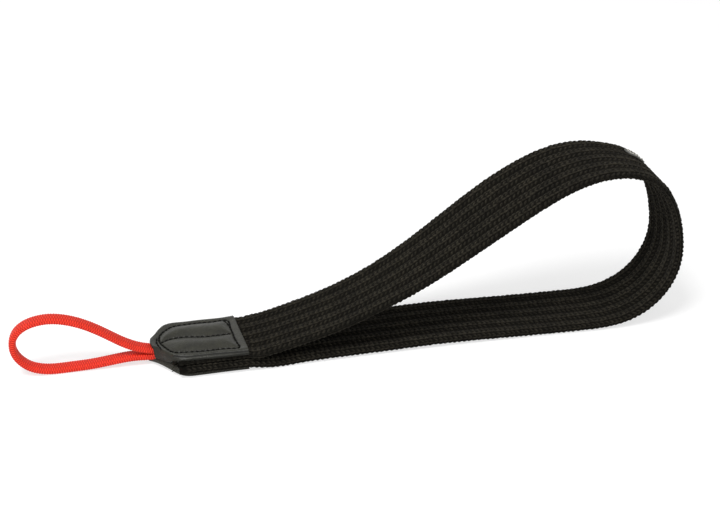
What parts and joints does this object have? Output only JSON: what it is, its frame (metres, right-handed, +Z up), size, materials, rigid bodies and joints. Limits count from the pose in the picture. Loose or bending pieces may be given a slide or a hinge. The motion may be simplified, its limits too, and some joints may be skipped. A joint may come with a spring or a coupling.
{
  "type": "camera hand strap",
  "caption": "Ribbed knitted wrist loop with a stitched leather end cap and a small red cord loop that ties it to a camera.",
  "frame": {"origin": "on the flat underside of the bottom cover, on its middle line, 1 mm inside its square end", "axes": "+X from the cap along the hand loop to its far turn, +Z up from the surface that the strap lies on"},
  "size_m": [0.2114, 0.028, 0.0591],
  "materials": {
    "knit": "matte black cotton knit",
    "braid": "fine red braid",
    "leather": "satin black, fine grain",
    "thread": "black sewing thread",
    "label": "glossy grey, bare"
  },
  "bodies": {
    "root": {"knitted_band": "knit", "cord_loop": "braid", "top_cover": "leather", "bottom_cover": "leather", "edge_thread_top": "thread", "middle_thread_top": "thread", "edge_thread_bottom": "thread", "middle_thread_bottom": "thread", "label_patch": "label"}
  },
  "joints": []
}
